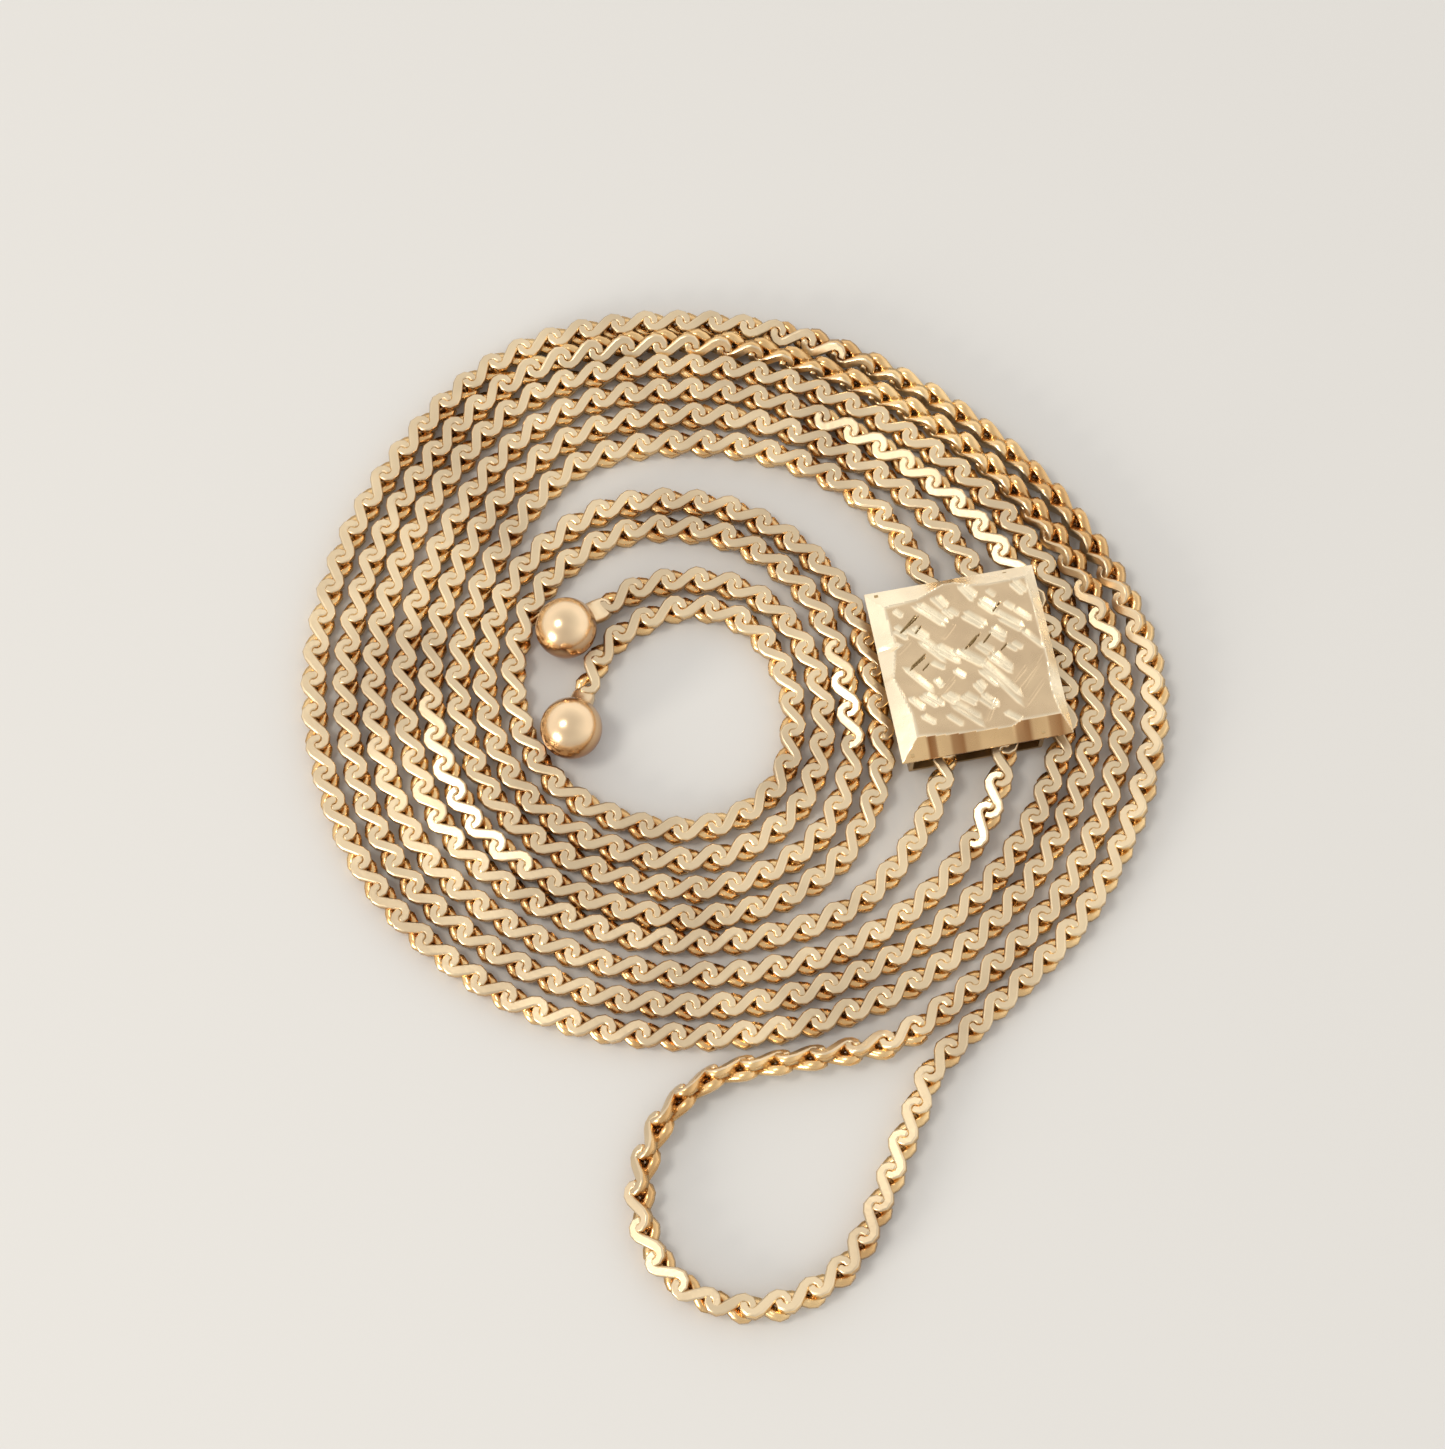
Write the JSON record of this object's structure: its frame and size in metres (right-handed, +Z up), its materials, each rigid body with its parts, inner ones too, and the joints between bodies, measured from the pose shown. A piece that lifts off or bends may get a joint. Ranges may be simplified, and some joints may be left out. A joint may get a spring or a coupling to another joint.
{
  "type": "eyeglasses chain strap",
  "caption": "Doubled serpentine link chain laid in a flat coil, with ball ends, a fold loop and a square friction slide that both strands run through.",
  "frame": {"origin": "centre of the coil's bounding box, on the surface that the chain lies on", "axes": "+Z up out of the surface; +Y away from the fold loop; +X towards the slide's side of the coil"},
  "size_m": [0.0561, 0.0684, 0.004],
  "materials": {
    "chain": "gold-filled, polished with satin flats",
    "ball": "polished",
    "cap": "polished solder and gold",
    "cover": "engraved plateau, hammered bevel",
    "tray": "satin",
    "spring": "satin"
  },
  "bodies": {
    "coil": {"outer_strand_turn_1": "chain", "outer_strand_turn_2": "chain", "outer_strand_turn_3": "chain", "outer_strand_turn_4": "chain", "outer_strand_turn_5": "chain", "inner_strand_turn_1": "chain", "inner_strand_turn_2": "chain", "inner_strand_turn_3": "chain", "inner_strand_turn_4": "chain", "inner_strand_turn_5": "chain"},
    "upper_tail_3": {"upper_tail_link_3": "chain"},
    "upper_tail_2": {"upper_tail_link_2": "chain"},
    "upper_tail_1": {"upper_tail_link_1": "chain"},
    "upper_end": {"upper_end_link": "chain", "upper_ball_cap": "cap", "upper_ball": "ball"},
    "lower_tail_3": {"lower_tail_link_3": "chain"},
    "lower_tail_2": {"lower_tail_link_2": "chain"},
    "lower_tail_1": {"lower_tail_link_1": "chain"},
    "lower_end": {"lower_end_link": "chain", "lower_ball_cap": "cap", "lower_ball": "ball"},
    "loop_links_1": {"loop_hinge_links_1": "chain"},
    "loop_links_2": {"loop_hinge_links_2": "chain"},
    "loop": {"loop_strand": "chain"},
    "slide": {"slide_cover": "cover", "slide_tray": "tray", "slide_divider": "tray", "slide_spring_left": "spring", "slide_spring_right": "spring"}
  },
  "joints": [
    {"name": "upper_lift_1", "type": "hinge", "parent": "coil", "child": "upper_tail_3", "pos_m": [0.00007, 0.01397, 0.00062], "axis": [0.3356, 0.942, 0], "range_deg": [0, 12]},
    {"name": "upper_lift_2", "type": "hinge", "parent": "upper_tail_3", "child": "upper_tail_2", "pos_m": [-0.00208, 0.0144, 0.00062], "axis": [0.0839, 0.9965, 0], "range_deg": [0, 12]},
    {"name": "upper_lift_3", "type": "hinge", "parent": "upper_tail_2", "child": "upper_tail_1", "pos_m": [-0.00428, 0.01434, 0.00062], "axis": [-0.1454, 0.9894, 0], "range_deg": [0, 12]},
    {"name": "upper_lift_4", "type": "hinge", "parent": "upper_tail_1", "child": "upper_end", "pos_m": [-0.00639, 0.01377, 0.00062], "axis": [-0.3865, 0.9223, 0], "range_deg": [0, 12]},
    {"name": "lower_swing_1", "type": "hinge", "parent": "coil", "child": "lower_tail_3", "pos_m": [-0.00357, 0.01245, 0.00062], "axis": [0, 0, 1], "range_deg": [0, 9]},
    {"name": "lower_swing_2", "type": "hinge", "parent": "lower_tail_3", "child": "lower_tail_2", "pos_m": [-0.00563, 0.01171, 0.00062], "axis": [0, 0, 1], "range_deg": [0, 12]},
    {"name": "lower_swing_3", "type": "hinge", "parent": "lower_tail_2", "child": "lower_tail_1", "pos_m": [-0.00748, 0.01052, 0.00062], "axis": [0, 0, 1], "range_deg": [0, 10]},
    {"name": "lower_swing_4", "type": "hinge", "parent": "lower_tail_1", "child": "lower_end", "pos_m": [-0.00885, 0.00883, 0.00062], "axis": [0, 0, 1], "range_deg": [0, 10]},
    {"name": "loop_lift_1", "type": "hinge", "parent": "coil", "child": "loop_links_1", "pos_m": [0.01248, -0.01664, 0.00062], "axis": [-0.8472, 0.5313, 0], "range_deg": [0, 10]},
    {"name": "loop_lift_2", "type": "hinge", "parent": "loop_links_1", "child": "loop_links_2", "pos_m": [0.01082, -0.018, 0.00062], "axis": [-0.7947, 0.607, 0], "range_deg": [0, 10]},
    {"name": "loop_lift_3", "type": "hinge", "parent": "loop_links_2", "child": "loop", "pos_m": [0.00937, -0.01925, 0.00062], "axis": [-0.7437, 0.6685, 0], "range_deg": [0, 10]},
    {"name": "slide_along_strands", "type": "slide", "parent": "coil", "child": "slide", "axis": [-0.1908, 0.9816, 0], "range_m": [-0.0008, 0.0008]}
  ]
}
